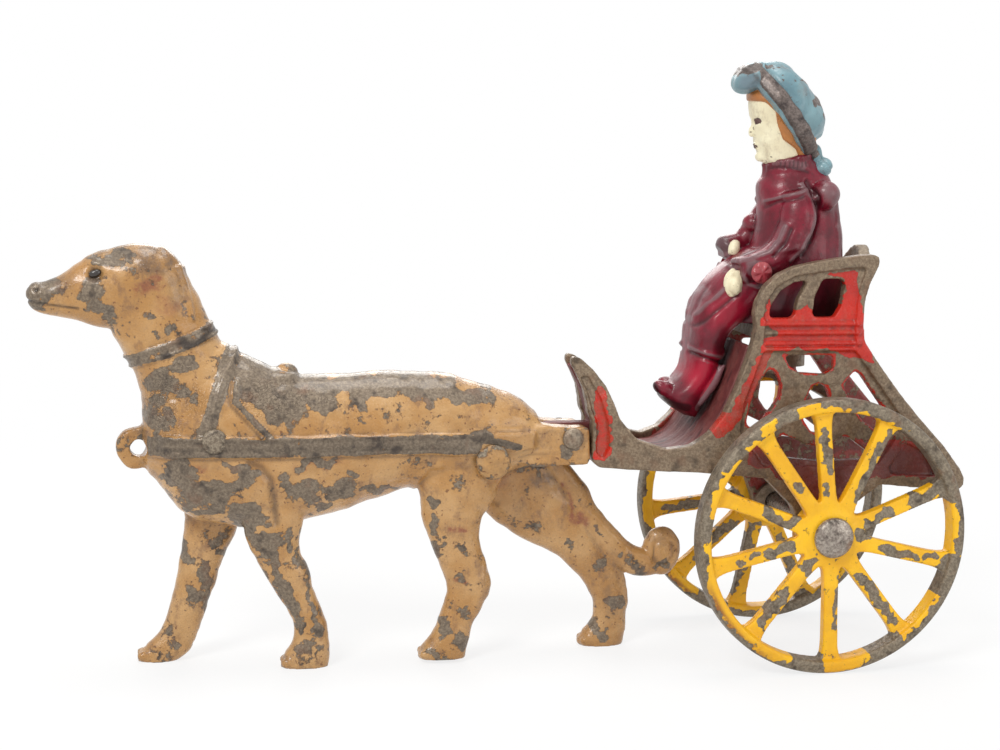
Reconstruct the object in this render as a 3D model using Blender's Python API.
"""Cast iron toy: a hound draws a two-wheeled openwork cart with a seated driver.

Sizes are in millimetres and are turned into metres where the meshes are made.
The toy's drawing frame has X = 0 at the axle, +X towards the cart's rear, the dog facing -X,
Y = 0 at the parting plane and Z = 0 at the floor. Left is the toy's own left, at -Y.
"""
import math

import bmesh
import bpy
from mathutils import Matrix, Vector

MM = 0.001

# Clearances
PARTING_GAP = 0.3
FIT_GAP = 0.3
RUNNING_GAP = 0.3
HITCH_GAP = 0.7

# Length of the mark drawn at each joint
JOINT_MARK = 5.0

# Wheels and axle
WHEEL_RADIUS = 29.3
RIM_DEPTH = 2.9
RIM_WIDTH = 5.2
RIM_EDGE = 0.7
RIM_INSET = 2.6
SPOKE_COUNT = 10
SPOKE_WIDTH = 3.3
SPOKE_THICKNESS = 2.6
SPOKE_FILLET = 1.7
LEFT_WHEEL_TURN = 1.5
RIGHT_WHEEL_TURN = -11.0
# Degrees by which each spoke of the near wheel stands off its even place, from the top forwards
LEFT_SPOKE_TURNS = (4.9, -1.5, -3.3, -6.0, -4.6, -0.1, 0.5, 3.3, 2.8, 8.5)
RIGHT_SPOKE_TURNS = (0.0,) * SPOKE_COUNT
HUB_RADIUS = 7.3
HUB_LENGTH = 6.9
HUB_CROWN = 1.6
AXLE_RADIUS = 2.2
AXLE_HEAD_RADIUS = 4.3
AXLE_HEAD_HEIGHT = 1.5
AXLE_HEAD_EDGE = 0.6
AXLE_HEAD_RIM = 0.4
AXLE_FLAT_RADIUS = 2.6

# Cart
CART_WIDTH = 34.0
SIDE_THICKNESS = 3.2
PANEL_DEPTH = 0.7
BEARING_RADIUS = 4.6
BEARING_PROUD = 0.6
BEARING_INNER = 1.6
BOW_WIDTH = 10.4
BOW_START = 20.0
BOW_FLAT = 3.0
BOW_SLICES = 8
HORN_DEPTH = 6.0
HORN_START = 4.0
HORN_RISE = 13.0
HORN_TIP_WIDTH = 7.0
HORN_TIP_THICKNESS = 1.8
SHEET_THICKNESS = 2.4
SHEET_STUD_STEPS = (3, 10)
TONGUE_LENGTH = 6.2
TONGUE_TOP = 2.6
TONGUE_BOTTOM = 4.6
TONGUE_ROUND = 2.0
SEAT_HEIGHT = 42.7
SEAT_THICKNESS = 2.6
SEAT_FRONT = 13.2
STUD_RADIUS = 1.1
STUD_LENGTH = 1.6
STUD_INSET = 4.0
BACK_THICKNESS = 2.6
BACK_HEIGHT = 12.0
BACK_CREST = 4.8
BACK_CREST_WIDTH = 13.0
BACK_BOW = 4.4
BACK_LEAN = 1.6
BACK_REACH = 9.5
BACK_STEPS = 16
SEAT_STEPS = 10

# Hitch between the dog's shaft blocks and the cart's tongue
HITCH_AHEAD = 52.1
HITCH_RISE = 18.7
HITCH_PIN_RADIUS = 1.5
HITCH_HEAD_RADIUS = 2.3
BLOCK_REACH = 3.8
BLOCK_LENGTH = 14.0
BLOCK_WIDTH = 13.4
BLOCK_TOP = 2.2
BLOCK_SLOPE = 0.8
BLOCK_BOTTOM = 5.9

# Dog
DOG_WALL = 2.3
NECK_WALL = 2.7
SHAFT_BAND_HEIGHT = 4.4
SHAFT_BAND_PROUD = 0.8
SHAFT_BAND_FLAT = 0.8
EYELET_AHEAD = 90.4
EYELET_DROP = 1.5
EYELET_RADIUS = 4.5
EYELET_HOLE_RADIUS = 1.7
EYELET_THICKNESS = 3.4
FRONT_RIVET_AHEAD = 75.4
FRONT_RIVET_RISE = 1.2
FRONT_RIVET_RADIUS = 1.4
FRONT_HEAD_RADIUS = 2.6
REAR_RIVET_AHEAD = 17.7
REAR_RIVET_DROP = 4.2
REAR_RIVET_RADIUS = 1.4
REAR_HEAD_RADIUS = 3.7
RIVET_HEAD_HEIGHT = 1.1
RIVET_HEAD_FLAT = 0.6
RIVET_HEAD_SHOULDER = 0.45

# Driver
PEG_AHEAD = 3.0
PEG_RADIUS = 2.0
PEG_DEPTH = 8.0
PEG_HOLD = 7.0
SOCKET_WALL = 1.6
SOCKET_FLOOR = 1.2
DRIVER_RIVET_AHEAD = 13.0
DRIVER_RIVET_RISE = 11.6
DRIVER_RIVET_RADIUS = 1.3
DRIVER_HEAD_RADIUS = 2.3

# Heights and places that follow from the sizes above
AXLE_Z = WHEEL_RADIUS
CART_HALF = CART_WIDTH / 2
HITCH_Z = AXLE_Z + HITCH_RISE
SEAT_Z = AXLE_Z + SEAT_HEIGHT
BLOCK_END = HITCH_AHEAD - BLOCK_REACH
BOW_X = -(BLOCK_END - HITCH_GAP)
BOW_END = -BOW_X + BOW_FLAT
HUB_INNER = CART_HALF + BEARING_PROUD + RUNNING_GAP
HUB_OUTER = HUB_INNER + HUB_LENGTH
RIM_INNER = HUB_INNER + RIM_INSET
WHEEL_MIDDLE = RIM_INNER + RIM_WIDTH / 2
TONGUE_HALF = BOW_WIDTH / 2 - SIDE_THICKNESS - FIT_GAP

# Heights that the outlines below were drawn for
DRAWN_AXLE_Z = 29.3
DRAWN_SEAT = 42.7
DRAWN_HITCH_Z = 48.0
DRAWN_HITCH_X = -52.1
DRAWN_BOW_X = -47.6
DRAWN_BOW_START = -20.0

# Side of the cart: outline from the horn's tip round the bottom to the rear and the arm rail,
# each point an X and a height above the floor as drawn
SIDE_OUTLINE = [
    (-51.8, 65.1), (-52.2, 63.8), (-50.9, 61.4), (-49.5, 58.4), (-48.8, 55.4), (-48.5, 53.2),
    (-47.6, 51.6), (-47.6, 43.0), (-46.0, 41.4), (-40.0, 41.3), (-27.0, 41.8), (-19.0, 41.3),
    (-12.6, 40.6), (-6.4, 34.4), (-4.6, 29.3), (-3.2, 26.1), (0.0, 24.7), (3.2, 26.1),
    (4.6, 29.3), (6.6, 34.0), (13.2, 38.8), (25.8, 37.4), (30.2, 37.0), (32.0, 37.9),
    (32.3, 39.6), (31.0, 42.0), (27.1, 47.0), (21.9, 52.4), (16.8, 58.2), (12.8, 63.3),
    (10.2, 66.8), (8.3, 69.6), (7.9, 73.0), (8.0, 78.3), (8.9, 81.6), (10.9, 86.0),
    (10.8, 87.4), (9.6, 87.9), (6.5, 87.7), (2.0, 87.1), (-3.0, 86.3), (-7.6, 85.3),
    (-11.2, 83.7), (-14.0, 81.2), (-15.6, 78.2), (-16.1, 75.6), (-15.6, 72.4), (-16.5, 68.2),
    (-17.5, 65.2), (-19.5, 59.6), (-21.9, 54.2), (-24.9, 50.0), (-28.4, 47.3), (-33.0, 46.3),
    (-38.6, 48.0), (-42.0, 52.0), (-43.2, 55.5), (-44.6, 58.8), (-47.2, 62.2), (-50.0, 64.7),
]
SIDE_OPENINGS = {
    "front_window": [(-12.9, 74.5), (-7.2, 74.5), (-6.6, 78.3), (-4.5, 82.5), (-7.4, 82.1),
                     (-10.4, 80.3), (-12.4, 77.3)],
    "rear_window": [(-3.4, 74.6), (1.7, 74.6), (3.0, 77.0), (3.9, 82.7), (-1.2, 82.8),
                    (-2.9, 79.0)],
    "top_arch": [(-9.1, 66.7), (1.8, 66.6), (1.9, 63.9), (0.1, 62.5), (-5.7, 62.9),
                 (-8.0, 64.4)],
    "front_slot": [(-12.4, 63.8), (-10.9, 63.2), (-9.5, 60.4), (-9.8, 57.7), (-11.6, 55.0),
                   (-14.6, 50.9), (-17.0, 51.8), (-16.2, 56.3), (-15.0, 59.9)],
    "rear_slot": [(6.6, 63.3), (8.1, 62.4), (12.4, 56.6), (14.9, 53.1), (15.5, 50.6),
                  (12.4, 50.0), (8.6, 52.6), (5.7, 57.1), (4.0, 60.1)],
    "middle_oval": [(-3.9, 57.6), (-2.7, 60.0), (-1.2, 60.7), (0.5, 59.9), (1.4, 57.5),
                    (1.4, 52.8), (-0.4, 49.8), (-2.5, 50.2), (-4.4, 52.9)],
    "lower_arch": [(-11.8, 45.2), (-10.6, 48.6), (-8.9, 49.8), (-6.9, 49.1), (-3.7, 47.6),
                   (-1.0, 47.1), (2.1, 47.5), (3.4, 48.5), (4.9, 49.3), (6.6, 48.5),
                   (9.8, 46.2), (11.4, 44.2), (-0.5, 43.9)],
}
SIDE_PANELS = {
    "horn": [(-50.2, 60.8), (-48.6, 57.4), (-47.8, 54.0), (-46.7, 51.0), (-46.7, 44.6),
             (-45.2, 43.2), (-43.9, 46.0), (-44.3, 51.5), (-45.9, 56.6), (-48.4, 61.0)],
    "arm": [(-14.3, 74.0), (-13.8, 77.8), (-11.6, 81.3), (-7.6, 83.4), (-2.0, 84.3),
            (4.0, 85.0), (8.4, 85.4), (6.9, 81.5), (6.3, 77.0), (6.3, 74.0)],
    "upper_band": [(-13.9, 73.1), (6.3, 73.1), (6.3, 71.8), (-13.9, 71.8)],
    "lower_band": [(-14.2, 70.7), (6.3, 70.7), (6.6, 69.2), (-14.4, 69.2)],
    "web": [(-14.0, 67.6), (6.4, 67.6), (8.8, 64.4), (16.9, 53.8), (17.0, 50.0), (12.4, 43.0),
            (-13.2, 43.0), (-18.6, 50.4), (-17.6, 57.0)],
    "rear": [(14.8, 42.3), (18.6, 47.8), (22.2, 46.0), (26.0, 40.2), (15.4, 41.0)],
}
# Middle line of the foot well sheet, from the top of the dash to the seat's front edge
SHEET_LINE = [
    (-50.9, 63.4), (-48.4, 58.6), (-46.8, 53.4), (-45.0, 48.6), (-41.0, 45.4), (-36.0, 44.3),
    (-31.0, 44.1), (-27.0, 45.6), (-24.0, 48.6), (-21.0, 53.5), (-18.6, 59.0), (-16.6, 64.4),
    (-15.4, 68.2),
]

# Dog, each station an X, a top, a bottom and a half width
TORSO = [
    (-141.7, 53.6, 43.0, 3.2), (-140.6, 57.0, 41.0, 5.4), (-138.6, 60.5, 39.0, 7.0),
    (-135.0, 63.5, 34.4, 8.8), (-131.0, 66.2, 31.2, 9.7), (-126.0, 66.8, 30.0, 10.3),
    (-121.0, 65.8, 29.2, 10.6), (-115.0, 62.9, 29.4, 10.6), (-108.7, 61.4, 30.7, 10.4),
    (-101.0, 61.4, 32.4, 10.1), (-93.5, 61.9, 34.9, 9.8), (-86.0, 62.0, 37.0, 9.6),
    (-78.4, 61.1, 37.6, 9.6), (-73.2, 60.0, 38.2, 9.3), (-68.0, 58.2, 39.2, 8.7),
    (-62.7, 55.9, 40.8, 7.6), (-59.0, 53.2, 41.8, 6.8),
]
HEAD = [
    (-133.8, 84.2, 80.4, 2.0), (-135.3, 86.0, 77.0, 4.2), (-137.4, 87.8, 74.6, 5.6),
    (-140.7, 88.6, 73.0, 6.1), (-145.5, 88.2, 71.2, 6.1), (-150.3, 87.0, 71.6, 5.3),
    (-154.2, 84.7, 72.6, 4.5), (-157.5, 82.5, 73.3, 3.8), (-160.6, 81.2, 74.0, 3.3),
    (-163.2, 80.5, 75.2, 2.6), (-164.5, 79.0, 77.2, 1.3),
]
# Neck and legs, each station a height, a front X, a back X and a half width
NECK = [
    (52.0, -141.8, -112.6, 7.6), (58.0, -142.0, -117.8, 7.8), (62.5, -143.6, -120.5, 7.6),
    (66.7, -145.6, -124.4, 7.2), (70.2, -147.6, -126.6, 6.8), (75.0, -148.4, -128.9, 6.3),
    (80.0, -147.6, -131.3, 5.8), (84.0, -145.0, -133.0, 5.0),
]
LEGS = {
    "left_fore": [(41.0, -122.8, -108.8, 3.4), (33.0, -122.0, -108.6, 3.6),
                  (27.0, -120.4, -109.8, 3.4), (21.0, -117.6, -107.9, 3.1),
                  (15.0, -114.0, -106.1, 2.8), (9.8, -111.2, -104.3, 2.6),
                  (5.6, -111.1, -103.4, 2.6), (2.6, -112.8, -103.2, 2.9),
                  (0.0, -113.6, -103.5, 2.9)],
    "left_hind": [(47.0, -84.0, -64.0, 3.4), (36.0, -84.6, -68.2, 3.9),
                  (30.0, -83.5, -71.2, 3.5), (25.0, -81.7, -71.4, 3.2),
                  (20.0, -79.5, -69.5, 2.9), (16.2, -78.7, -68.8, 2.8),
                  (12.0, -79.1, -70.7, 2.6), (8.0, -80.4, -72.5, 2.6),
                  (4.5, -82.8, -73.5, 2.8), (2.4, -84.2, -74.0, 3.0),
                  (0.8, -84.4, -74.2, 3.0)],
    "right_fore": [(40.0, -133.0, -118.0, 3.4), (29.0, -133.2, -121.8, 3.6),
                   (24.0, -133.7, -124.0, 3.3), (18.0, -134.7, -126.1, 3.0),
                   (12.7, -136.0, -128.0, 2.8), (8.0, -137.4, -129.6, 2.6),
                   (4.4, -139.4, -130.9, 2.7), (1.9, -142.5, -132.0, 2.9),
                   (0.0, -143.1, -134.4, 2.9)],
}
LEG_MIDDLE = 4.5
# Far hind leg and tail, each station an X, a height, a half depth and a half width
RIGHT_HIND = [
    (-68.0, 41.2, 8.4, 3.6), (-61.0, 35.3, 9.0, 4.0), (-54.6, 29.5, 7.5, 3.8),
    (-48.9, 24.5, 5.6, 3.4), (-44.7, 19.6, 4.8, 3.1), (-41.9, 15.3, 4.4, 2.9),
    (-40.3, 11.4, 4.0, 2.7), (-40.1, 7.8, 3.7, 2.7),
]
RIGHT_HIND_FOOT = [
    (9.4, -43.9, -36.5, 2.7), (6.0, -44.4, -36.6, 2.7), (3.2, -46.2, -36.8, 2.8),
    (1.2, -47.6, -37.1, 3.0), (0.0, -47.3, -37.3, 3.0),
]
TAIL = [
    (-55.4, 43.0, 2.2, 2.3), (-50.0, 36.0, 2.7, 2.5), (-46.2, 30.0, 2.7, 2.5),
    (-42.2, 25.0, 2.6, 2.4), (-37.6, 20.2, 2.7, 2.4), (-33.4, 18.2, 2.4, 2.3),
]
TAIL_CURL_X = -29.5
TAIL_CURL_Z = 21.0
TAIL_CURL_LENGTH = 4.5
TAIL_CURL_HEIGHT = 5.5
TAIL_CURL_WIDTH = 2.5
TAIL_MIDDLE = 2.9

# Driver, each station a height, a front X, a back X and a half width
SKIRT = [
    (51.9, -26.3, -23.6, 4.4), (54.0, -29.8, -22.9, 6.2), (56.6, -31.8, -22.0, 7.0),
    (59.4, -30.8, -20.8, 7.4), (62.0, -28.0, -19.9, 7.4), (65.4, -26.7, -18.7, 8.0),
    (70.0, -25.8, -17.2, 8.8), (76.0, -24.8, -10.0, 9.2), (80.6, -22.2, -7.0, 9.0),
    (84.6, -19.0, -6.0, 8.2), (88.2, -16.6, -6.0, 6.4), (90.8, -13.4, -6.0, 5.0),
]
BODY = [
    (72.3, -17.0, 7.6, 8.8), (76.0, -17.0, 8.0, 9.4), (81.0, -14.2, 8.3, 9.0),
    (87.0, -12.2, 8.4, 8.2), (93.0, -10.8, 7.8, 8.0), (98.0, -10.7, 6.9, 8.6),
    (101.6, -11.0, 6.4, 7.6), (104.4, -9.4, 4.6, 5.4), (108.0, -8.6, 2.8, 4.4),
]
DRIVER_HEAD = [
    (105.9, -10.2, -3.0, 2.6), (108.0, -11.6, 0.0, 4.2), (111.0, -12.7, 1.4, 5.2),
    (115.0, -13.4, 2.0, 5.8), (119.0, -13.7, 1.8, 5.8), (122.4, -13.2, 0.6, 5.0),
]
# Arms, each station an X, a distance from the parting plane, a height and a radius
LEFT_ARM = [
    (0.6, 5.6, 99.6, 3.0), (-0.4, 6.6, 95.6, 3.9), (-2.2, 7.0, 90.0, 4.1),
    (-5.0, 6.9, 85.8, 4.0), (-10.0, 6.8, 83.9, 3.8), (-14.6, 6.6, 83.0, 3.7),
    (-16.6, 6.4, 82.0, 2.4), (-19.2, 6.0, 80.8, 1.9),
]
RIGHT_ARM = [
    (0.0, 5.6, 99.6, 3.0), (-4.0, 6.6, 94.6, 3.5), (-8.6, 6.8, 91.0, 3.1),
    (-12.2, 6.4, 88.2, 2.8), (-15.4, 6.0, 86.0, 2.4), (-16.8, 5.6, 84.8, 1.8),
]
HAT_X = -5.6
HAT_Z = 118.2
HAT_TILT = 48.0
BRIM_LENGTH = 12.6
BRIM_WIDTH = 9.6
BRIM_THICKNESS = 3.0
CROWN_LENGTH = 8.8
CROWN_WIDTH = 7.6
CROWN_RISE = 5.9
CROWN_TOP = 0.55
CROWN_SHIFT = 1.4
HAT_FLAP = (-11.6, 123.9)
HAT_FLAP_RADII = (4.2, 6.5, 3.6)
HAT_TAIL = (2.6, 106.4)
HAT_TAIL_RADII = (2.7, 2.7, 2.7)

# Fineness of the surfaces, edge rounding and how far a cutting tool runs past a piece
RING_SIDES = 16
LIMB_SIDES = 12
STUD_SEGMENTS = 12
PIN_SEGMENTS = 16
AXLE_SEGMENTS = 20
BEARING_SEGMENTS = 24
WHEEL_SEGMENTS = 40
EDGE_ROUND = 1.0
PANEL_ROUND = 0.8
CUT_MARGIN = 4.0
CUT_REACH = 30.0
CUT_TOP = 200.0

COLOURS = {
    "tan": (0.58, 0.36, 0.16, 0.55, 0.0),
    "iron": (0.17, 0.15, 0.12, 0.50, 0.8),
    "yellow": (0.90, 0.52, 0.02, 0.45, 0.0),
    "red": (0.58, 0.06, 0.03, 0.45, 0.0),
    "floor_red": (0.20, 0.03, 0.03, 0.50, 0.0),
    "maroon": (0.22, 0.01, 0.04, 0.30, 0.0),
}


def shift_x():
    """Moves the drawing frame so that the box of the whole toy is centred on X = 0."""
    nose = dog_x(HEAD[-1][0])
    rear = max(WHEEL_RADIUS, max(x for x, _ in SIDE_OUTLINE))
    return -(nose + rear) / 2


def dog_x(x):
    """The dog keeps its place relative to the hitch pin."""
    return x - DRAWN_HITCH_X - HITCH_AHEAD


def dog_z(z):
    """Above the hitch the dog moves with it; below, its legs stretch down to the floor."""
    if z >= DRAWN_HITCH_Z:
        return z + HITCH_Z - DRAWN_HITCH_Z
    return z * HITCH_Z / DRAWN_HITCH_Z


def cart_x(x):
    """The bow keeps its place ahead of the cart; what lies behind its start stays."""
    if x >= DRAWN_BOW_START:
        return x
    if x <= DRAWN_BOW_X:
        return x - DRAWN_BOW_X + BOW_X
    share = (x - DRAWN_BOW_START) / (DRAWN_BOW_X - DRAWN_BOW_START)
    return DRAWN_BOW_START + share * (BOW_X - DRAWN_BOW_START)


def cart_z(z):
    """Above the seat a height moves with it; between axle and seat it stretches."""
    rise = z - DRAWN_AXLE_Z
    if rise <= 0:
        return AXLE_Z + rise
    if rise >= DRAWN_SEAT:
        return AXLE_Z + rise - DRAWN_SEAT + SEAT_HEIGHT
    return AXLE_Z + rise * SEAT_HEIGHT / DRAWN_SEAT


def smooth(value):
    value = min(max(value, 0.0), 1.0)
    return value * value * (3 - 2 * value)


def horn_share(x, z):
    """How far up the horn a point lies: 0 below it and behind it, 1 at its tip."""
    if x >= BOW_X + HORN_DEPTH:
        return 0.0
    return smooth((z - HITCH_Z - HORN_START) / HORN_RISE)


def side_outer(x, z):
    """Distance of the side's outer face from the middle plane."""
    bow = smooth((-x - BOW_START) / (BOW_END - BOW_START))
    outer = CART_HALF + bow * (BOW_WIDTH / 2 - CART_HALF)
    return outer + horn_share(x, z) * (HORN_TIP_WIDTH / 2 - outer)


def side_thickness(x, z):
    return SIDE_THICKNESS + horn_share(x, z) * (HORN_TIP_THICKNESS - SIDE_THICKNESS)


def superpower(value, exponent):
    return math.copysign(abs(value) ** exponent, value)


def ring(centre, across, half_depth, half_width, sides, squareness=2.2):
    """Closed superellipse about a centre, spanned by a direction in XZ and by Y."""
    points = []
    for step in range(sides):
        angle = 2 * math.pi * (step + 0.5) / sides
        a = superpower(math.cos(angle), 2 / squareness) * half_depth
        b = superpower(math.sin(angle), 2 / squareness) * half_width
        points.append(Vector(centre) + Vector(across) * a + Vector((0, b, 0)))
    return points


def new_object(name, bm):
    bmesh.ops.recalc_face_normals(bm, faces=bm.faces)
    mesh = bpy.data.meshes.new(name)
    bm.to_mesh(mesh)
    bm.free()
    item = bpy.data.objects.new(name, mesh)
    bpy.context.scene.collection.objects.link(item)
    return item


def skin(name, rings):
    """Closed body through rings of equal count, with flat ends."""
    bm = bmesh.new()
    loops = [[bm.verts.new(point) for point in points] for points in rings]
    for first, second in zip(loops, loops[1:]):
        for i, vert in enumerate(first):
            j = (i + 1) % len(first)
            bm.faces.new((vert, first[j], second[j], second[i]))
    bm.faces.new(loops[0][::-1])
    bm.faces.new(loops[-1])
    return new_object(name, bm)


def lengthwise(name, stations, place_x, place_z, inset=0.0, sides=RING_SIDES):
    """Body from stations along X: X, top, bottom and half width."""
    rings = []
    for x, top, bottom, half_width in stations:
        low, high = place_z(bottom) + inset, place_z(top) - inset
        centre = (place_x(x), 0, (low + high) / 2)
        rings.append(ring(centre, (0, 0, 1), (high - low) / 2, half_width - inset, sides))
    return skin(name, rings)


def upright(name, stations, place_x, place_z, middle=0.0, inset=0.0, sides=LIMB_SIDES):
    """Body from stations up Z: height, front X, back X and half width, about Y = middle."""
    rings = []
    for z, front, back, half_width in stations:
        low, high = place_x(front) + inset, place_x(back) - inset
        centre = ((low + high) / 2, middle, place_z(z))
        rings.append(ring(centre, (1, 0, 0), (high - low) / 2, half_width - inset, sides))
    return skin(name, rings)


def limb(name, stations, place_x, place_z, middle=0.0, sides=LIMB_SIDES):
    """Body along a bent path in XZ: X, height, half depth and half width."""
    points = [Vector((place_x(x), middle, place_z(z))) for x, z, *_ in stations]
    rings = []
    for i, (_, _, half_depth, half_width) in enumerate(stations):
        along = points[min(i + 1, len(points) - 1)] - points[max(i - 1, 0)]
        across = Vector((-along.z, 0, along.x)).normalized()
        rings.append(ring(points[i], across, half_depth, half_width, sides))
    return skin(name, rings)


def tube(name, stations, sides=LIMB_SIDES):
    """Round body along a free path of (point, radius)."""
    points = [Vector(point) for point, _ in stations]
    rings = []
    for i, (_, radius) in enumerate(stations):
        along = (points[min(i + 1, len(points) - 1)] - points[max(i - 1, 0)]).normalized()
        side = along.cross(Vector((0, 0, 1))).normalized()
        lift = side.cross(along)
        rings.append([points[i] + radius * (side * math.cos(a) + lift * math.sin(a))
                      for a in (2 * math.pi * k / sides for k in range(sides))])
    return skin(name, rings)


def lathe(name, profile, x, z, segments=AXLE_SEGMENTS):
    """Turned body about a line along Y through (x, z); profile points are (radius, y)."""
    bm = bmesh.new()
    verts = [bm.verts.new((radius, y, 0)) for radius, y in profile]
    edges = [bm.edges.new(pair) for pair in zip(verts, verts[1:])]
    bmesh.ops.spin(bm, geom=verts + edges, cent=(0, 0, 0), axis=(0, 1, 0),
                   angle=2 * math.pi, steps=segments, use_merge=True)
    bmesh.ops.remove_doubles(bm, verts=bm.verts, dist=0.001)
    bm.transform(Matrix.Translation((x, 0, z)))
    return new_object(name, bm)


def rod(name, radius, y0, y1, x, z, segments=PIN_SEGMENTS):
    return lathe(name, [(0, y0), (radius, y0), (radius, y1), (0, y1)], x, z, segments)


def block(name, low, high):
    bm = bmesh.new()
    bmesh.ops.create_cube(bm, size=1.0)
    size = Vector(high) - Vector(low)
    centre = (Vector(high) + Vector(low)) / 2
    bm.transform(Matrix.Translation(centre) @ Matrix.Diagonal((*size, 1)))
    return new_object(name, bm)


def rounded(points, radius, steps=3):
    """Outline with its corners turned into arcs, each limited by its two edges."""
    result = []
    count = len(points)
    for i in range(count):
        corner = Vector(points[i])
        before, after = Vector(points[i - 1]), Vector(points[(i + 1) % count])
        one, two = (before - corner), (after - corner)
        angle = one.angle(two)
        if angle > math.radians(150):
            result.append(corner)
            continue
        reach = min(radius / math.tan(angle / 2), one.length * 0.45, two.length * 0.45)
        start, end = corner + one.normalized() * reach, corner + two.normalized() * reach
        for k in range(steps + 1):
            t = k / steps
            result.append(start * (1 - t) ** 2 + corner * 2 * t * (1 - t) + end * t * t)
    return result


def plate(name, outline, y0, y1):
    """Flat plate between two Y planes with an (X, Z) outline."""
    bm = bmesh.new()
    first = [bm.verts.new((x, y0, z)) for x, z in outline]
    second = [bm.verts.new((x, y1, z)) for x, z in outline]
    bm.faces.new(first)
    bm.faces.new(second[::-1])
    for i, vert in enumerate(first):
        j = (i + 1) % len(first)
        bm.faces.new((vert, first[j], second[j], second[i]))
    return new_object(name, bm)


def combine(base, others, operation):
    """Applies one Boolean per tool and removes the tools."""
    for tool in others:
        modifier = base.modifiers.new("combine", "BOOLEAN")
        modifier.operation = operation
        modifier.solver = "EXACT"
        modifier.object = tool
        bpy.context.view_layer.update()
        graph = bpy.context.evaluated_depsgraph_get()
        mesh = bpy.data.meshes.new_from_object(base.evaluated_get(graph))
        base.modifiers.clear()
        old = base.data
        base.data = mesh
        bpy.data.meshes.remove(old)
        bpy.data.objects.remove(tool)
    return base


def join(base, *others):
    return combine(base, others, "UNION")


def cut(base, *others):
    return combine(base, others, "DIFFERENCE")


def keep(base, *others):
    return combine(base, others, "INTERSECT")


def copy_of(item, name):
    twin = item.copy()
    twin.data = item.data.copy()
    twin.name = name
    bpy.context.scene.collection.objects.link(twin)
    return twin


def joint(name, x, z):
    """Empty on a joint's axis, in the finished frame."""
    item = bpy.data.objects.new(name, None)
    item.location = Vector((x + shift_x(), 0, z)) * MM
    item.empty_display_size = JOINT_MARK * MM
    bpy.context.scene.collection.objects.link(item)
    return item


def finish(item, name, material, parent, smooth_angle=38):
    """Names a piece, puts its origin on its joint and turns millimetres into metres."""
    item.name = name
    item.data.name = name
    item.data.transform(Matrix.Translation((shift_x(), 0, 0)))
    item.data.transform(Matrix.Scale(MM, 4))
    item.data.transform(Matrix.Translation(-parent.location))
    item.parent = parent
    item.data.materials.clear()
    item.data.materials.append(material)
    item.data.shade_smooth()
    item.data.set_sharp_from_angle(angle=math.radians(smooth_angle))
    return item


def make_material(name, red, green, blue, roughness, metallic):
    material = bpy.data.materials.new(name)
    material.use_nodes = True
    shader = material.node_tree.nodes["Principled BSDF"]
    shader.inputs["Base Color"].default_value = (red, green, blue, 1)
    shader.inputs["Roughness"].default_value = roughness
    shader.inputs["Metallic"].default_value = metallic
    material.diffuse_color = (red, green, blue, 1)
    return material


def dog_width(x):
    """Half width of the torso at an X as drawn."""
    for near, far in zip(TORSO, TORSO[1:]):
        if near[0] <= x <= far[0]:
            share = (x - near[0]) / (far[0] - near[0])
            return near[3] + share * (far[3] - near[3])
    return TORSO[0][3] if x < TORSO[0][0] else TORSO[-1][3]


def torso_solid():
    solid = lengthwise("torso", TORSO, dog_x, dog_z)
    return join(solid,
                upright("neck", NECK, dog_x, dog_z, sides=RING_SIDES),
                lengthwise("head", HEAD, dog_x, dog_z))


def shaft_band(side):
    """Flat bar along the body, from the breast to the shaft block."""
    half = SHAFT_BAND_HEIGHT / 2
    flat = half * SHAFT_BAND_FLAT
    rings = []
    for x, *_ in TORSO[1:-1]:
        outer = dog_width(x) + SHAFT_BAND_PROUD
        inner = outer - DOG_WALL
        section = ((inner, -half), (outer, -flat), (outer, flat), (inner, half))
        rings.append([(dog_x(x), side * y, HITCH_Z + z) for y, z in section])
    return skin("shaft_band", rings)


def shaft_block(side):
    """Rear end of the shaft, one cheek of the fork that takes the tongue."""
    rear = -BLOCK_END
    front = rear - BLOCK_LENGTH
    top, bottom = HITCH_Z + BLOCK_TOP, HITCH_Z - BLOCK_BOTTOM
    corners = [(front, bottom), (rear, bottom), (rear, top), (front, top + BLOCK_SLOPE)]
    low, high = sorted((0.0, side * BLOCK_WIDTH / 2))
    return plate("shaft_block", rounded(corners, EDGE_ROUND), low, high)


def tongue_slot():
    """Space between the two cheeks, open at the top, the rear and the bottom."""
    half = TONGUE_HALF + FIT_GAP
    front = -HITCH_AHEAD - TONGUE_LENGTH - HITCH_GAP
    return block("tongue_slot", (front, -half, HITCH_Z - BLOCK_BOTTOM - CUT_MARGIN),
                 (-BLOCK_END + CUT_MARGIN, half, HITCH_Z + BLOCK_TOP + 2 * CUT_MARGIN))


def dog_rivets():
    """Place, shank radius, head radius and reach of the dog's two rivets."""
    front_x = -HITCH_AHEAD - FRONT_RIVET_AHEAD
    rear_x = -HITCH_AHEAD - REAR_RIVET_AHEAD
    front_reach = dog_width(DRAWN_HITCH_X - FRONT_RIVET_AHEAD) + SHAFT_BAND_PROUD
    rear_reach = dog_width(DRAWN_HITCH_X - REAR_RIVET_AHEAD) + SHAFT_BAND_PROUD
    return {
        "dog_front_rivet": (front_x, HITCH_Z + FRONT_RIVET_RISE, FRONT_RIVET_RADIUS,
                            FRONT_HEAD_RADIUS, front_reach + FIT_GAP),
        "dog_rear_rivet": (rear_x, HITCH_Z - REAR_RIVET_DROP, REAR_RIVET_RADIUS,
                           REAR_HEAD_RADIUS, rear_reach + FIT_GAP),
    }


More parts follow.
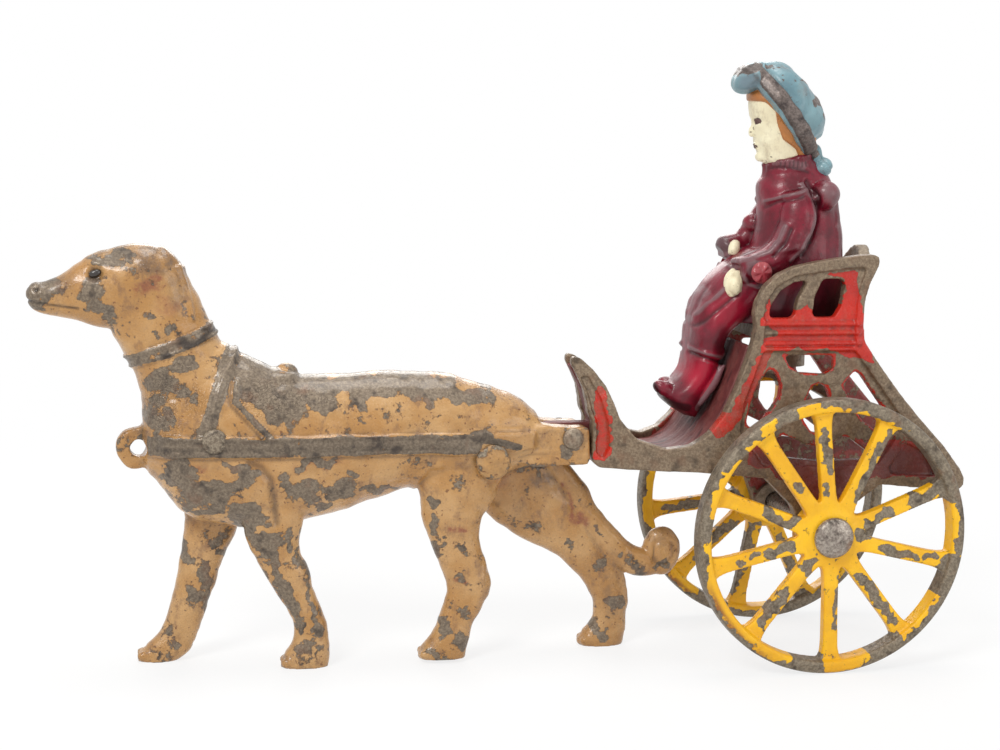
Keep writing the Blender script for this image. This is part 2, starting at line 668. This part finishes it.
def headed_pin(name, x, z, radius, head_radius, reach):
    """Pin along Y with a low round head beyond the reach at each end."""
    top = reach + RIVET_HEAD_HEIGHT
    shoulder = reach + RIVET_HEAD_HEIGHT * RIVET_HEAD_SHOULDER
    half = [(0, -top), (head_radius * RIVET_HEAD_FLAT, -top), (head_radius, -shoulder),
            (head_radius, -reach), (radius, -reach)]
    profile = half + [(r, -y) for r, y in reversed(half)]
    return lathe(name, profile, x, z, PIN_SEGMENTS)


def leg_solids(side):
    middle = side * LEG_MIDDLE
    if side < 0:
        return [upright("left_fore", LEGS["left_fore"], dog_x, dog_z, middle),
                upright("left_hind", LEGS["left_hind"], dog_x, dog_z, middle)]
    tail_middle = side * TAIL_MIDDLE
    curl_centre = (dog_x(TAIL_CURL_X), tail_middle, dog_z(TAIL_CURL_Z))
    return [upright("right_fore", LEGS["right_fore"], dog_x, dog_z, middle),
            limb("right_hind", RIGHT_HIND, dog_x, dog_z, middle),
            upright("right_hind_foot", RIGHT_HIND_FOOT, dog_x, dog_z, middle),
            limb("tail", TAIL, dog_x, dog_z, tail_middle),
            ball("tail_curl", curl_centre,
                 (TAIL_CURL_LENGTH, TAIL_CURL_WIDTH, TAIL_CURL_HEIGHT))]


def ball(name, centre, radii):
    bm = bmesh.new()
    bmesh.ops.create_uvsphere(bm, u_segments=14, v_segments=8, radius=1.0)
    bm.transform(Matrix.Translation(centre) @ Matrix.Diagonal((*radii, 1)))
    return new_object(name, bm)


def cavity_solids():
    """Hollow of the body and neck, one wall in from the outside."""
    body = TORSO[2:-2]
    neck = NECK[1:-2]
    return [lengthwise("body_cavity", body, dog_x, dog_z, inset=DOG_WALL, sides=LIMB_SIDES),
            upright("neck_cavity", neck, dog_x, dog_z, inset=NECK_WALL)]


def eyelet_place():
    return -HITCH_AHEAD - EYELET_AHEAD, HITCH_Z - EYELET_DROP


def eyelet(side):
    """Breast lug with the pull cord's hole, half of it on each casting."""
    low, high = sorted((0.0, side * EYELET_THICKNESS / 2))
    return rod("eyelet", EYELET_RADIUS, low, high, *eyelet_place(), AXLE_SEGMENTS)


def bore(radius, x, z):
    return rod("bore", radius, -CUT_REACH, CUT_REACH, x, z)


def half_space(side):
    """Everything on one side of the parting plane, half the parting gap away from it."""
    low, high = sorted((side * PARTING_GAP / 2, side * CUT_REACH))
    return block("half_space", (-CUT_TOP, low, 0), (CUT_TOP, high, CUT_TOP))


def dog_half(side, torso):
    """One casting of the dog, open towards the parting plane."""
    half = copy_of(torso, "dog_half")
    join(half, *leg_solids(side), shaft_band(side), shaft_block(side), eyelet(side))
    cut(half, *cavity_solids(), tongue_slot())
    for x, z, radius, _, _ in dog_rivets().values():
        cut(half, bore(radius + FIT_GAP, x, z))
    cut(half, bore(HITCH_PIN_RADIUS + FIT_GAP, -HITCH_AHEAD, HITCH_Z))
    cut(half, bore(EYELET_HOLE_RADIUS, *eyelet_place()))
    return keep(half, half_space(side))


def make_dog(parts):
    torso = torso_solid()
    for name, side in (("dog_left_half", -1), ("dog_right_half", 1)):
        parts[name] = (dog_half(side, torso), "tan", "dog_joint")
    bpy.data.objects.remove(torso)
    for name, (x, z, radius, head, reach) in dog_rivets().items():
        parts[name] = (headed_pin(name, x, z, radius, head, reach), "tan", "dog_joint")
    pin = headed_pin("hitch_pin", -HITCH_AHEAD, HITCH_Z, HITCH_PIN_RADIUS, HITCH_HEAD_RADIUS,
                     BLOCK_WIDTH / 2 + FIT_GAP)
    parts["hitch_pin"] = (pin, "iron", "dog_joint")


def cart_points(points):
    return [(cart_x(x), cart_z(z)) for x, z in points]


def seat_studs():
    """X and height of the seat's studs in the sides."""
    z = SEAT_Z - SEAT_THICKNESS / 2
    return [(-SEAT_FRONT + STUD_INSET, z), (STUD_INSET, z)]


def sheet_studs():
    """Places along the foot well sheet where it is let into the sides."""
    line = cart_points(SHEET_LINE)
    return [line[index] for index in SHEET_STUD_STEPS]


def bend_side(item):
    """Slices the flat side ahead of the bow's start and draws it in to the bow."""
    bm = bmesh.new()
    bm.from_mesh(item.data)
    for step in range(BOW_SLICES):
        x = -BOW_START - (BOW_END + BOW_FLAT - BOW_START) * step / BOW_SLICES
        geometry = bm.verts[:] + bm.edges[:] + bm.faces[:]
        bmesh.ops.bisect_plane(bm, geom=geometry, plane_co=(x, 0, 0), plane_no=(1, 0, 0),
                               dist=0.001)
    for vert in bm.verts:
        share = (vert.co.y + CART_HALF) / SIDE_THICKNESS
        outer = side_outer(vert.co.x, vert.co.z)
        thickness = side_thickness(vert.co.x, vert.co.z)
        if vert.co.x < -BOW_START:
            vert.co.y = -outer + share * thickness
    bmesh.ops.triangulate(bm, faces=[face for face in bm.faces if len(face.verts) > 4])
    bm.to_mesh(item.data)
    bm.free()


def make_side():
    """Left side of the cart: an openwork plate with sunk panels, bearing and stud sockets."""
    outer, inner = -CART_HALF, -CART_HALF + SIDE_THICKNESS
    outline = rounded(cart_points(SIDE_OUTLINE), EDGE_ROUND, 1)
    side = plate("side", outline, outer, inner)
    for points in SIDE_OPENINGS.values():
        outline = rounded(cart_points(points), EDGE_ROUND, 2)
        cut(side, plate("opening", outline, outer - CUT_MARGIN, inner + CUT_MARGIN))
    for points in SIDE_PANELS.values():
        outline = rounded(cart_points(points), PANEL_ROUND, 1)
        cut(side, plate("panel", outline, outer - CUT_MARGIN, outer + PANEL_DEPTH))
    bend_side(side)
    boss_outer, boss_inner = outer - BEARING_PROUD, inner + BEARING_INNER
    join(side, rod("boss", BEARING_RADIUS, boss_outer, boss_inner, 0, AXLE_Z, BEARING_SEGMENTS))
    cut(side, rod("bore", AXLE_RADIUS + RUNNING_GAP, outer - CUT_MARGIN, inner + CUT_MARGIN,
                  0, AXLE_Z))
    for x, z in seat_studs() + sheet_studs():
        face = -side_outer(x, z) + side_thickness(x, z)
        cut(side, rod("socket", STUD_RADIUS + FIT_GAP, face - STUD_LENGTH - FIT_GAP,
                      face + CUT_MARGIN, x, z, STUD_SEGMENTS))
    return side


def mirrored(item, name):
    twin = copy_of(item, name)
    bm = bmesh.new()
    bm.from_mesh(twin.data)
    bm.transform(Matrix.Scale(-1, 4, (0, 1, 0)))
    bmesh.ops.reverse_faces(bm, faces=bm.faces)
    bm.to_mesh(twin.data)
    bm.free()
    return twin


def sheet_half_width(x, z):
    return side_outer(x, z) - side_thickness(x, z) - FIT_GAP


def make_floor():
    """Foot well sheet with the dash, the tongue for the hitch and the studs."""
    line = [Vector((x, 0, z)) for x, z in cart_points(SHEET_LINE)]
    rings = []
    for i, point in enumerate(line):
        along = line[min(i + 1, len(line) - 1)] - line[max(i - 1, 0)]
        across = Vector((-along.z, 0, along.x)).normalized() * SHEET_THICKNESS / 2
        low, high = point - across, point + across
        # both faces of a ring take the narrower of the two widths
        half = min(sheet_half_width(low.x, low.z), sheet_half_width(high.x, high.z))
        rings.append([low + Vector((0, -half, 0)), low + Vector((0, half, 0)),
                      high + Vector((0, half, 0)), high + Vector((0, -half, 0))])
    floor = skin("floor", rings)
    front = -HITCH_AHEAD - TONGUE_LENGTH
    rear = sheet_studs()[0][0] + SHEET_THICKNESS / 2
    corners = [(front, HITCH_Z - TONGUE_BOTTOM), (rear, HITCH_Z - TONGUE_BOTTOM),
               (rear, HITCH_Z + TONGUE_TOP), (front, HITCH_Z + TONGUE_TOP)]
    join(floor, plate("tongue", rounded(corners, TONGUE_ROUND), -TONGUE_HALF, TONGUE_HALF))
    cut(floor, bore(HITCH_PIN_RADIUS + RUNNING_GAP, -HITCH_AHEAD, HITCH_Z))
    for x, z in sheet_studs():
        reach = side_outer(x, z) - side_thickness(x, z) + STUD_LENGTH
        join(floor, rod("stud", STUD_RADIUS, -reach, reach, x, z, STUD_SEGMENTS))
    return floor


def back_line(y):
    """Front face of the seat back above the seat, in plan."""
    return BACK_REACH - BACK_BOW * (y / (CART_HALF - SIDE_THICKNESS)) ** 2


def make_seat():
    """Seat plate with its bowed rear edge, the driver's peg socket and the studs."""
    half = CART_HALF - SIDE_THICKNESS - FIT_GAP
    rear = [(back_line(y) + BACK_THICKNESS, y)
            for y in (half - 2 * half * k / SEAT_STEPS for k in range(SEAT_STEPS + 1))]
    outline = [(-SEAT_FRONT, -half), (-SEAT_FRONT, half)] + rear
    bm = bmesh.new()
    low = [bm.verts.new((x, y, SEAT_Z - SEAT_THICKNESS)) for x, y in outline]
    high = [bm.verts.new((x, y, SEAT_Z)) for x, y in outline]
    bm.faces.new(low)
    bm.faces.new(high[::-1])
    for i, vert in enumerate(low):
        j = (i + 1) % len(low)
        bm.faces.new((vert, low[j], high[j], high[i]))
    seat = new_object("seat", bm)
    depth = PEG_DEPTH + FIT_GAP
    join(seat, post("socket_boss", PEG_RADIUS + RUNNING_GAP + SOCKET_WALL,
                    SEAT_Z - depth - SOCKET_FLOOR, SEAT_Z - SEAT_THICKNESS / 2))
    cut(seat, post("socket", PEG_RADIUS + RUNNING_GAP, SEAT_Z - depth, SEAT_Z + CUT_MARGIN))
    for x, z in seat_studs():
        for side in (-1, 1):
            near, far = side * (half - STUD_LENGTH), side * (half + FIT_GAP + STUD_LENGTH)
            join(seat, rod("stud", STUD_RADIUS, min(near, far), max(near, far), x, z,
                           STUD_SEGMENTS))
    return seat


def post(name, radius, low, high):
    """Upright cylinder on the peg's line."""
    bm = bmesh.new()
    bmesh.ops.create_cone(bm, cap_ends=True, segments=AXLE_SEGMENTS, radius1=radius,
                          radius2=radius, depth=high - low)
    bm.transform(Matrix.Translation((-PEG_AHEAD, 0, (low + high) / 2)))
    return new_object(name, bm)


def make_back():
    """Bowed, slightly leaning back plate with a crest in the middle."""
    half = CART_HALF - SIDE_THICKNESS - FIT_GAP
    foot = SEAT_Z + FIT_GAP
    rings = []
    for k in range(BACK_STEPS + 1):
        y = -half + 2 * half * k / BACK_STEPS
        crest = BACK_CREST * smooth(1 - abs(y) / (BACK_CREST_WIDTH / 2)) ** 0.5
        top = SEAT_Z + BACK_HEIGHT + crest
        lean = BACK_LEAN * (top - foot) / BACK_HEIGHT
        front = back_line(y)
        rings.append([(front, y, foot), (front + BACK_THICKNESS, y, foot),
                      (front + BACK_THICKNESS + lean, y, top), (front + lean, y, top)])
    return skin("back", rings)


def make_cart(parts):
    side = make_side()
    parts["cart_right_side"] = (mirrored(side, "right"), "red", "cart_frame")
    parts["cart_left_side"] = (side, "red", "cart_frame")
    parts["cart_floor"] = (make_floor(), "floor_red", "cart_frame")
    parts["seat"] = (make_seat(), "iron", "cart_frame")
    parts["seat_back"] = (make_back(), "iron", "cart_frame")


def spoke_window(start, end):
    """Opening between spokes at two angles: straight along them, round at rim and hub."""
    middle, half = (start + end) / 2, (end - start) / 2
    outer, inner = WHEEL_RADIUS - RIM_DEPTH, HUB_RADIUS
    turn_out = half - math.asin(SPOKE_WIDTH / 2 / outer)
    turn_in = half - math.asin(SPOKE_WIDTH / 2 / inner)
    arc = [(outer, middle + turn_out * t) for t in (-1, -0.5, 0, 0.5, 1)]
    arc += [(inner, middle + turn_in * t) for t in (1, 0, -1)]
    points = [(r * math.cos(a), AXLE_Z + r * math.sin(a)) for r, a in arc]
    return rounded(points, SPOKE_FILLET, 2)


def spoke_angles(turn, spoke_turns):
    """Angles of the spokes in order, and the first one's again a full turn later."""
    angles = []
    for index, spoke_turn in enumerate(spoke_turns):
        angles.append(math.radians(90 + turn + spoke_turn + 360 * index / SPOKE_COUNT))
    return angles + [angles[0] + 2 * math.pi]


def make_wheel(side, angles):
    """Ten-spoke wheel: turned blank, thinned web, windows and bore."""
    rim_out, rim_in = RIM_INNER + RIM_WIDTH, RIM_INNER
    web_out = WHEEL_MIDDLE + SPOKE_THICKNESS / 2
    web_in = WHEEL_MIDDLE - SPOKE_THICKNESS / 2
    inside = WHEEL_RADIUS - RIM_DEPTH
    profile = [
        (0, HUB_INNER), (HUB_RADIUS - HUB_CROWN, HUB_INNER), (HUB_RADIUS, web_in),
        (inside, web_in), (inside, rim_in), (WHEEL_RADIUS - RIM_EDGE, rim_in),
        (WHEEL_RADIUS, rim_in + RIM_EDGE), (WHEEL_RADIUS, rim_out - RIM_EDGE),
        (WHEEL_RADIUS - RIM_EDGE, rim_out), (inside, rim_out), (inside, web_out),
        (HUB_RADIUS, web_out), (HUB_RADIUS - HUB_CROWN, HUB_OUTER), (0, HUB_OUTER),
    ]
    profile = [(radius, side * y) for radius, y in profile]
    wheel = lathe("wheel", profile, 0, AXLE_Z, WHEEL_SEGMENTS)
    low, high = sorted((side * (HUB_INNER - CUT_MARGIN), side * (HUB_OUTER + CUT_MARGIN)))
    for start, end in zip(angles[:-1], angles[1:]):
        cut(wheel, plate("window", spoke_window(start, end), low, high))
    return cut(wheel, rod("bore", AXLE_RADIUS + RUNNING_GAP, low, high, 0, AXLE_Z))


def make_axle():
    """Plain rod with a round, flat-topped head peened at each end."""
    seat = HUB_OUTER + RUNNING_GAP
    top = seat + AXLE_HEAD_HEIGHT
    half = [(0, -top), (AXLE_FLAT_RADIUS, -top),
            (AXLE_HEAD_RADIUS - AXLE_HEAD_EDGE, -top + AXLE_HEAD_EDGE),
            (AXLE_HEAD_RADIUS, -seat - AXLE_HEAD_RIM), (AXLE_HEAD_RADIUS, -seat),
            (AXLE_RADIUS, -seat)]
    return lathe("axle", half + [(r, -y) for r, y in reversed(half)], 0, AXLE_Z)


def make_running_gear(parts):
    parts["axle"] = (make_axle(), "iron", "axle_joint")
    left_angles = spoke_angles(LEFT_WHEEL_TURN, LEFT_SPOKE_TURNS)
    right_angles = spoke_angles(RIGHT_WHEEL_TURN, RIGHT_SPOKE_TURNS)
    parts["left_wheel"] = (make_wheel(-1, left_angles), "yellow", "axle_joint")
    parts["right_wheel"] = (make_wheel(1, right_angles), "yellow", "axle_joint")


def same_x(x):
    return x


def arm_solid(name, stations, side):
    return tube(name, [((x, side * y, cart_z(z)), radius) for x, y, z, radius in stations])


def hat_solid():
    """Tilted wide brim with a low crown behind it."""
    tilt = math.radians(HAT_TILT)
    along = Vector((math.cos(tilt), 0, -math.sin(tilt)))
    normal = Vector((math.sin(tilt), 0, math.cos(tilt)))
    centre = Vector((HAT_X, 0, cart_z(HAT_Z)))
    half = BRIM_THICKNESS / 2
    brim = [ring(centre + normal * lift, along, BRIM_LENGTH - edge, BRIM_WIDTH - edge, 20, 2.0)
            for lift, edge in ((-half, 1.0), (-half * 0.4, 0.0), (half * 0.4, 0.0), (half, 1.0))]
    hat = skin("brim", brim)
    levels = ((0.0, 1.0), (0.45, 0.96), (0.8, 0.76), (1.0, CROWN_TOP))
    middle = centre + along * CROWN_SHIFT
    crown = [ring(middle + normal * CROWN_RISE * lift, along, CROWN_LENGTH * share,
                  CROWN_WIDTH * share, 16, 2.0) for lift, share in levels]
    lobes = [ball("lobe", (x, 0, cart_z(z)), radii)
             for (x, z), radii in ((HAT_FLAP, HAT_FLAP_RADII), (HAT_TAIL, HAT_TAIL_RADII))]
    return join(hat, skin("crown", crown), *lobes)


def driver_rivet_place():
    return -DRIVER_RIVET_AHEAD, SEAT_Z + DRIVER_RIVET_RISE


def driver_half(side, figure):
    half = copy_of(figure, "driver_half")
    if side < 0:
        join(half, arm_solid("left_arm", LEFT_ARM, side))
    else:
        join(half, arm_solid("right_arm", RIGHT_ARM, side))
    cut(half, post("peg_channel", PEG_RADIUS + FIT_GAP, SEAT_Z - CUT_MARGIN,
                   SEAT_Z + PEG_HOLD + FIT_GAP))
    cut(half, bore(DRIVER_RIVET_RADIUS + FIT_GAP, *driver_rivet_place()))
    return keep(half, half_space(side))


def make_driver(parts):
    figure = upright("body", BODY, same_x, cart_z, sides=RING_SIDES)
    join(figure, upright("skirt", SKIRT, same_x, cart_z, sides=RING_SIDES),
         upright("head", DRIVER_HEAD, same_x, cart_z, sides=RING_SIDES), hat_solid())
    for name, side in (("driver_left_half", -1), ("driver_right_half", 1)):
        parts[name] = (driver_half(side, figure), "maroon", "driver_joint")
    bpy.data.objects.remove(figure)
    x, z = driver_rivet_place()
    reach = LEFT_ARM[4][1] + LEFT_ARM[4][3] + FIT_GAP
    rivet = headed_pin("driver_rivet", x, z, DRIVER_RIVET_RADIUS, DRIVER_HEAD_RADIUS, reach)
    parts["driver_rivet"] = (rivet, "maroon", "driver_joint")
    peg = post("driver_peg", PEG_RADIUS, SEAT_Z - PEG_DEPTH, SEAT_Z + PEG_HOLD)
    parts["driver_peg"] = (peg, "iron", "driver_joint")


def main():
    for item in list(bpy.data.objects):
        bpy.data.objects.remove(item)
    materials = {name: make_material(name, *values) for name, values in COLOURS.items()}
    joints = {
        "cart_frame": joint("cart_frame", 0, AXLE_Z),
        "axle_joint": joint("axle_joint", 0, AXLE_Z),
        "dog_joint": joint("dog_joint", -HITCH_AHEAD, HITCH_Z),
        "driver_joint": joint("driver_joint", -PEG_AHEAD, SEAT_Z),
    }
    parts = {}
    make_cart(parts)
    make_running_gear(parts)
    make_dog(parts)
    make_driver(parts)
    for name, (item, material, parent) in parts.items():
        finish(item, name, materials[material], joints[parent])


main()
